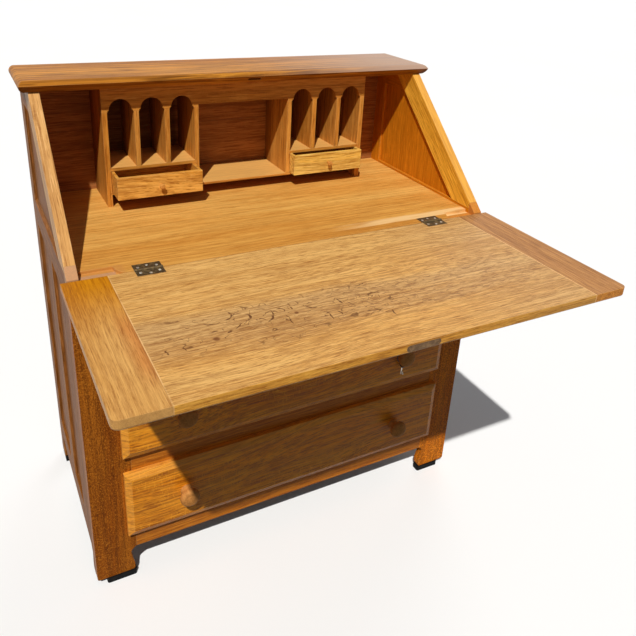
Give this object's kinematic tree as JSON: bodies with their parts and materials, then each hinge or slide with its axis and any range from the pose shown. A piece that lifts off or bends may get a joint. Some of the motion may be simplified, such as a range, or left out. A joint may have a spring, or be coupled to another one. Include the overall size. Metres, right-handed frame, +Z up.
{
  "type": "secretary desk",
  "caption": "Slant-front oak secretary desk with a drop-front writing fall on pull-out lopers, an arched pigeonhole gallery, small and large drawers and shaped feet.",
  "frame": {"origin": "on the floor under the middle of the desk's box as pictured, with the fall open", "axes": "+X to the right of a person sitting at the desk, +Y from that person to the back, +Z up"},
  "size_m": [0.933, 0.8476, 1.0034],
  "materials": {
    "oak_top": "waxed oak, honey brown, grain along the width",
    "oak_bed": "waxed oak, golden orange, grain along the width",
    "oak_fall": "waxed oak, golden tan with a knotty grey-brown band, grain along the width",
    "oak_fall_end": "waxed oak, grain along the depth",
    "oak_stile": "dark waxed oak, upright grain",
    "oak_rail": "dark waxed oak, grain along the width",
    "oak_side_stile": "weathered grey-brown oak, upright grain",
    "oak_side_rail": "weathered grey-brown oak, grain along the depth",
    "oak_side_panel": "weathered grey-brown oak panel, upright grain",
    "oak_slant": "golden oak, grain along the slant",
    "oak_gallery_flat": "bright golden oak, grain along the width",
    "oak_gallery_upright": "bright golden oak, upright grain",
    "oak_drawer_front": "waxed oak, grain along the width",
    "oak_small_front": "bright golden oak, grain along the width",
    "knob_oak": "turned oak, waxed",
    "knob_pale": "turned pale wood",
    "inner_wood": "plain planed wood inside the case and drawers",
    "back_wood": "horizontal oak back boards, grain along the width",
    "bronze": "dark bronzed brass, worn",
    "bright_steel": "worn bright steel",
    "key_iron": "dark iron with worn bright edges",
    "pad_rubber": "black rubber pad"
  },
  "bodies": {
    "case": {"top_board": "oak_top", "front_stiles": "oak_stile", "side_front_stiles": "oak_side_stile", "rear_stiles": "oak_side_stile", "slant_stiles": "oak_slant", "side_top_rails": "oak_side_rail", "side_mid_rails": "oak_side_rail", "side_bottom_rails": "oak_side_rail", "side_muntins": "oak_side_stile", "side_upper_panels": "oak_side_panel", "side_lower_panels": "oak_side_panel", "bottom_rail": "oak_rail", "drawer_rails": "oak_rail", "bed_rail": "oak_bed", "writing_bed": "oak_bed", "back_boards": "back_wood", "drawer_runners": "inner_wood", "loper_guides": "inner_wood", "foot_pads": "pad_rubber", "hinge_case_leaves": "bronze", "hinge_pins": "bright_steel", "gallery_header": "oak_gallery_flat", "gallery_ends": "oak_gallery_upright", "gallery_floor": "oak_gallery_flat", "gallery_shelves": "oak_gallery_flat", "gallery_centre_walls": "oak_gallery_upright", "gallery_partitions": "oak_gallery_upright"},
    "fall": {"fall_panel": "oak_fall", "fall_left_end": "oak_fall_end", "fall_right_end": "oak_fall_end", "hinge_fall_leaves": "bronze", "lock_plate": "bronze", "lock_case": "bronze"},
    "bolt": {"lock_bolt": "bright_steel"},
    "left_loper": {"left_loper": "inner_wood"},
    "right_loper": {"right_loper": "inner_wood"},
    "left_small_drawer": {"left_small_front": "oak_small_front", "left_small_walls": "oak_small_front", "left_small_floor": "inner_wood", "left_small_knob": "knob_pale"},
    "right_small_drawer": {"right_small_front": "oak_small_front", "right_small_walls": "oak_small_front", "right_small_floor": "inner_wood", "right_small_knob": "knob_pale"},
    "lower_drawer": {"lower_front": "oak_drawer_front", "lower_walls": "inner_wood", "lower_floor": "inner_wood", "lower_knobs": "knob_oak"},
    "middle_drawer": {"middle_front": "oak_drawer_front", "middle_walls": "inner_wood", "middle_floor": "inner_wood", "middle_knobs": "knob_oak", "key_on_ring": "key_iron"},
    "upper_drawer": {"upper_front": "oak_drawer_front", "upper_walls": "inner_wood", "upper_floor": "inner_wood", "upper_knobs": "knob_oak"}
  },
  "joints": [
    {"name": "fall_hinge", "type": "hinge", "parent": "case", "child": "fall", "pos_m": [0, -0.03572, 0.722], "axis": [-1, 0, 0], "range_deg": [0, 138.13]},
    {"name": "bolt_slide", "type": "slide", "parent": "fall", "child": "bolt", "axis": [0, -1, 0], "range_m": [0, 0.008]},
    {"name": "left_loper_slide", "type": "slide", "parent": "case", "child": "left_loper", "axis": [0, 1, 0], "range_m": [0, 0.27]},
    {"name": "right_loper_slide", "type": "slide", "parent": "case", "child": "right_loper", "axis": [0, 1, 0], "range_m": [0, 0.27]},
    {"name": "left_small_slide", "type": "slide", "parent": "case", "child": "left_small_drawer", "axis": [0, -1, 0], "range_m": [-0.052, 0.038]},
    {"name": "right_small_slide", "type": "slide", "parent": "case", "child": "right_small_drawer", "axis": [0, -1, 0], "range_m": [-0.025, 0.065]},
    {"name": "lower_drawer_slide", "type": "slide", "parent": "case", "child": "lower_drawer", "axis": [0, -1, 0], "range_m": [0, 0.34]},
    {"name": "middle_drawer_slide", "type": "slide", "parent": "case", "child": "middle_drawer", "axis": [0, -1, 0], "range_m": [0, 0.34]},
    {"name": "upper_drawer_slide", "type": "slide", "parent": "case", "child": "upper_drawer", "axis": [0, -1, 0], "range_m": [0, 0.34]}
  ]
}
